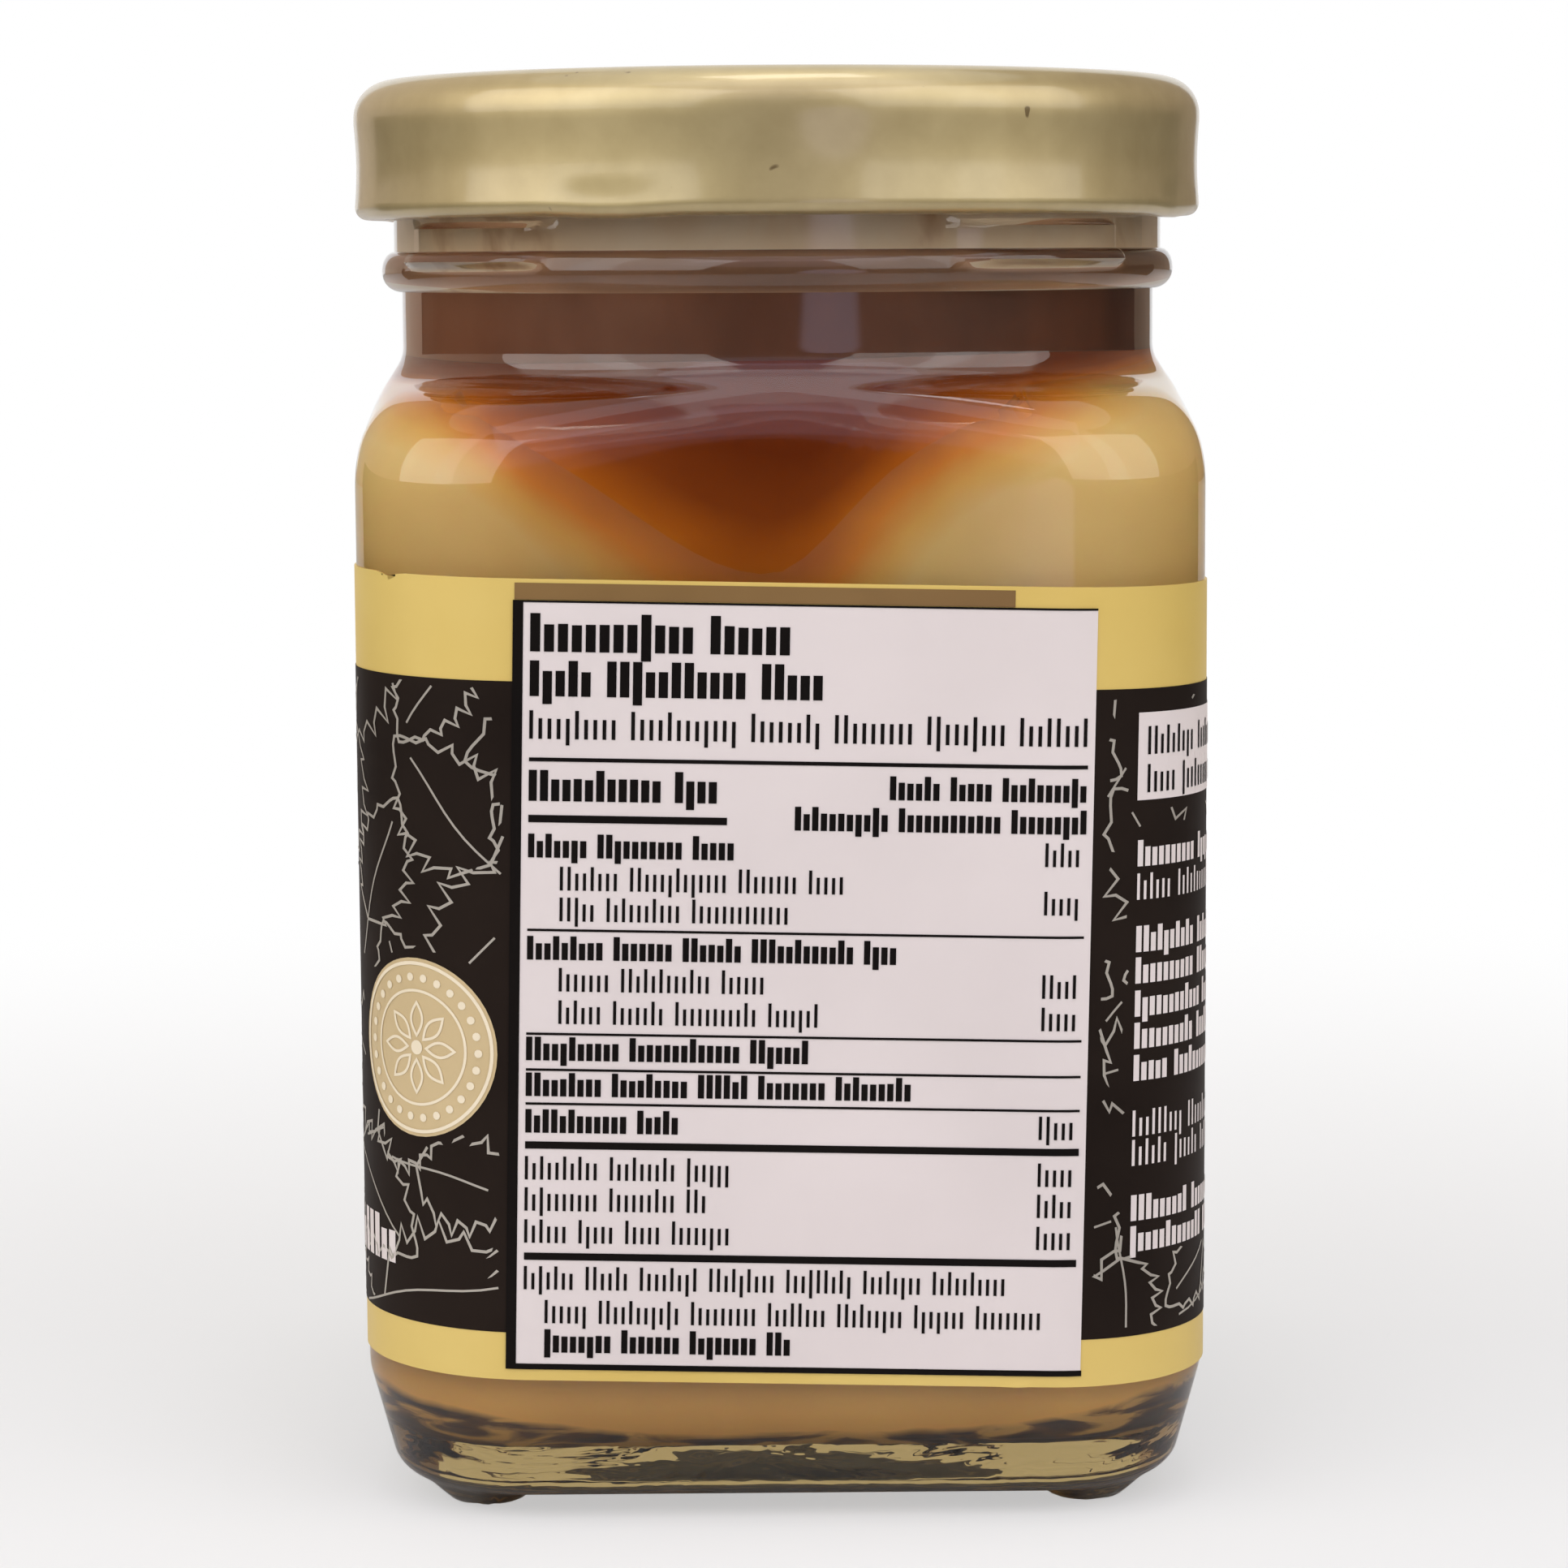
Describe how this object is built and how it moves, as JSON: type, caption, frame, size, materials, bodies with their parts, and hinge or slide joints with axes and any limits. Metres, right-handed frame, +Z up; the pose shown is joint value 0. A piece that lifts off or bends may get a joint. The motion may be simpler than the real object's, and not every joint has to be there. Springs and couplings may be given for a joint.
{
  "type": "jar of maple butter",
  "caption": "Square glass jar with rounded corners, filled with maple butter under a dark syrup layer, closed by a round twist-off metal lid, with a wrap-round paper label.",
  "frame": {"origin": "on the surface the jar stands on, below the jar's vertical axis", "axes": "+Z up along the jar's axis, -Y out of the front face with the ruled panel of the label, +X to the right seen from the front"},
  "size_m": [0.051, 0.051, 0.0828],
  "materials": {
    "clear_glass": "clear, smooth",
    "gold_lid": "satin champagne-gold lacquer",
    "label_paper": "semi-gloss coated paper, gold bands, black field, white panel",
    "maple_butter": "opaque, smooth, slightly translucent tan spread",
    "maple_syrup": "clear dark amber-brown syrup"
  },
  "bodies": {
    "root": {"glass_jar": "clear_glass", "lid": "gold_lid", "label": "label_paper", "maple_butter": "maple_butter", "maple_syrup": "maple_syrup"}
  },
  "joints": []
}
